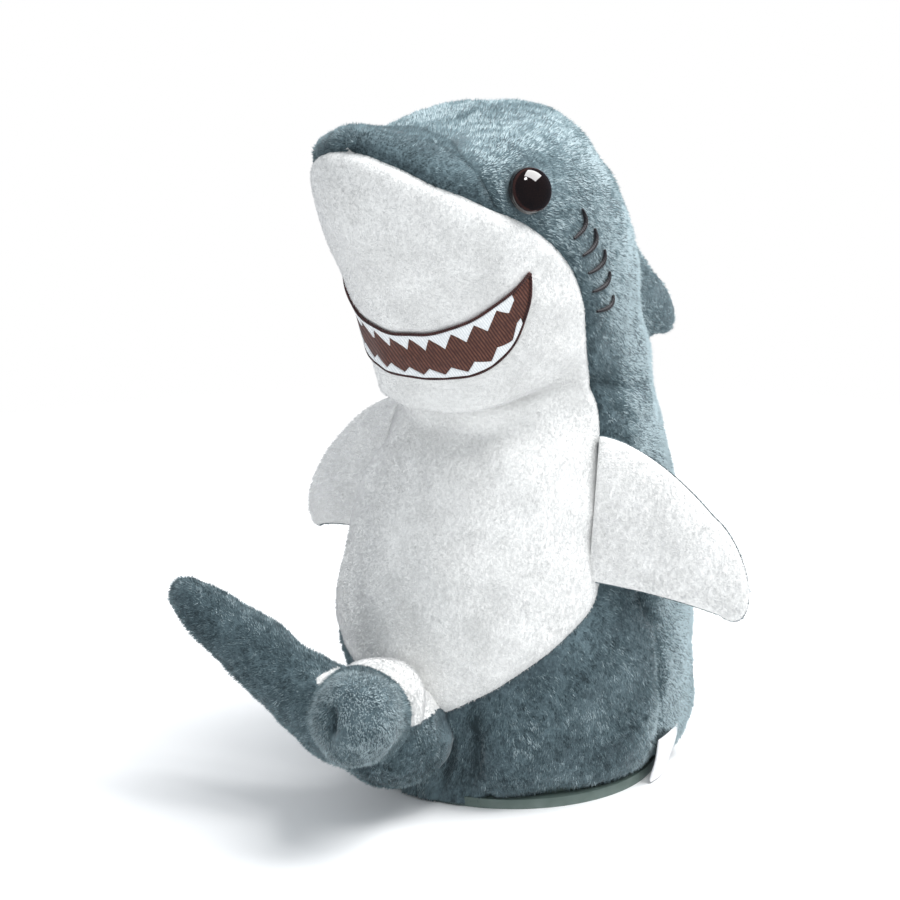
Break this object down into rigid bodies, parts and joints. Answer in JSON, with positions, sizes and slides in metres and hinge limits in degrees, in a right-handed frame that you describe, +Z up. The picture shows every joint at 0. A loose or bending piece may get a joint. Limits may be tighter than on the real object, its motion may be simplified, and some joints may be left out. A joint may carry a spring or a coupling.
{
  "type": "nodding plush toy shark",
  "caption": "Seated plush shark with a hard battery base; a geared crank inside the base rocks the stuffed upper body back and forth.",
  "frame": {"origin": "centre of the hard base's resting ring, on the surface it stands on", "axes": "+Z up; the shark faces -Y; its left side is +X"},
  "size_m": [0.1457, 0.1614, 0.179],
  "materials": {
    "base_plastic": "moulded, fine matt grain",
    "screw_steel": "plated",
    "cell_wrap": "plain shrink wrap",
    "contact_metal": "nickel plated",
    "board_green": "solder mask",
    "black_plastic": "moulded",
    "cone_paper": "pressed paper",
    "natural_plastic": "natural acetal",
    "motor_can": "drawn can",
    "pinion_brass": "turned",
    "grey_pile": "short brushed pile, blue grey",
    "white_pile": "short brushed pile, white",
    "lining": "knit backing",
    "stuffing": "loose polyester fibre",
    "label_satin": "blank satin tape",
    "eye_gloss": "clear gloss over dark brown",
    "thread_dark": "satin stitch",
    "thread_brown": "filled embroidery",
    "thread_dark_brown": "satin stitch outline",
    "thread_white": "satin stitch"
  },
  "bodies": {
    "base": {"base_tray": "base_plastic", "base_cover": "base_plastic", "housing_screws": "screw_steel", "battery_cells": "cell_wrap", "contact_springs": "contact_metal", "contact_plates": "contact_metal", "circuit_board": "board_green", "board_components": "black_plastic", "speaker_frame": "black_plastic", "speaker_cone": "cone_paper", "speaker_magnet": "screw_steel", "microphone": "contact_metal", "switch_body": "black_plastic", "drive_bracket": "natural_plastic", "bracket_screws": "screw_steel", "motor": "motor_can", "nod_pin": "screw_steel", "skirt_left": "grey_pile", "skirt_right": "grey_pile", "skirt_back": "grey_pile", "belly_low": "white_pile", "base_fill": "stuffing", "waist_sleeve": "lining", "label": "label_satin"},
    "upper": {"nod_frame": "natural_plastic", "mast_plate": "natural_plastic", "front_skin": "white_pile", "back_left": "grey_pile", "back_right": "grey_pile", "snout_top": "grey_pile", "chest_fill": "stuffing", "head_fill": "stuffing", "eye_left": "eye_gloss", "eye_right": "eye_gloss", "eye_washers": "natural_plastic", "gill_stitches": "thread_dark", "mouth_field": "thread_brown", "mouth_outline": "thread_dark_brown", "teeth_upper": "thread_white", "teeth_lower": "thread_white"},
    "crank": {"crank_gear": "natural_plastic"},
    "idler": {"idler_gear": "natural_plastic"},
    "pinion": {"motor_pinion": "pinion_brass"},
    "door": {"battery_door": "base_plastic", "door_screw": "screw_steel"},
    "switch": {"switch_knob": "black_plastic"},
    "fin_left": {"fin_left_front": "white_pile", "fin_left_back": "grey_pile", "fin_left_fill": "stuffing"},
    "fin_right": {"fin_right_front": "white_pile", "fin_right_back": "grey_pile", "fin_right_fill": "stuffing"},
    "dorsal": {"dorsal_left": "grey_pile", "dorsal_right": "grey_pile"},
    "tail": {"tail_stalk": "white_pile", "tail_lobe_left": "grey_pile", "tail_lobe_right": "grey_pile"}
  },
  "joints": [
    {"name": "nod", "type": "hinge", "parent": "base", "child": "upper", "pos_m": [0, 0.003, 0.03], "axis": [1, 0, 0], "range_deg": [-5, 5]},
    {"name": "crank_turn", "type": "hinge", "parent": "base", "child": "crank", "pos_m": [-0.018, 0.023, 0.03], "axis": [1, 0, 0], "range_deg": [-90, 90]},
    {"name": "idler_turn", "type": "hinge", "parent": "base", "child": "idler", "pos_m": [-0.021, 0.01203, 0.03511], "axis": [1, 0, 0], "range_deg": [-180, 180]},
    {"name": "pinion_turn", "type": "hinge", "parent": "base", "child": "pinion", "pos_m": [-0.022, 0.019, 0.044], "axis": [1, 0, 0], "range_deg": [-450, 450]},
    {"name": "battery_door_off", "type": "slide", "parent": "base", "child": "door", "axis": [0, 0, -1], "range_m": [0, 0.014]},
    {"name": "power_switch", "type": "slide", "parent": "base", "child": "switch", "axis": [1, 0, 0], "range_m": [0, 0.003]},
    {"name": "fin_left_flap", "type": "hinge", "parent": "upper", "child": "fin_left", "pos_m": [0.036, -0.0042, 0.096], "axis": [0.179, -0.1534, -0.9718], "range_deg": [-6, 30], "stiffness_Nm_per_rad": 0.02},
    {"name": "fin_right_flap", "type": "hinge", "parent": "upper", "child": "fin_right", "pos_m": [-0.036, -0.0046, 0.096], "axis": [0.179, 0.1534, 0.9718], "range_deg": [-6, 30], "stiffness_Nm_per_rad": 0.02},
    {"name": "dorsal_sway", "type": "hinge", "parent": "upper", "child": "dorsal", "pos_m": [0, 0.0304, 0.149], "axis": [0, 0.2425, -0.9701], "range_deg": [-12, 12], "stiffness_Nm_per_rad": 0.02},
    {"name": "tail_lift", "type": "hinge", "parent": "base", "child": "tail", "pos_m": [0, -0.046, 0.036], "axis": [-1, 0, 0], "range_deg": [0, 12], "stiffness_Nm_per_rad": 0.15}
  ],
  "couplings": [
    {"joint": "crank_turn", "follows": "nod", "ratio": 18},
    {"joint": "idler_turn", "follows": "nod", "ratio": -36},
    {"joint": "pinion_turn", "follows": "nod", "ratio": 90}
  ]
}
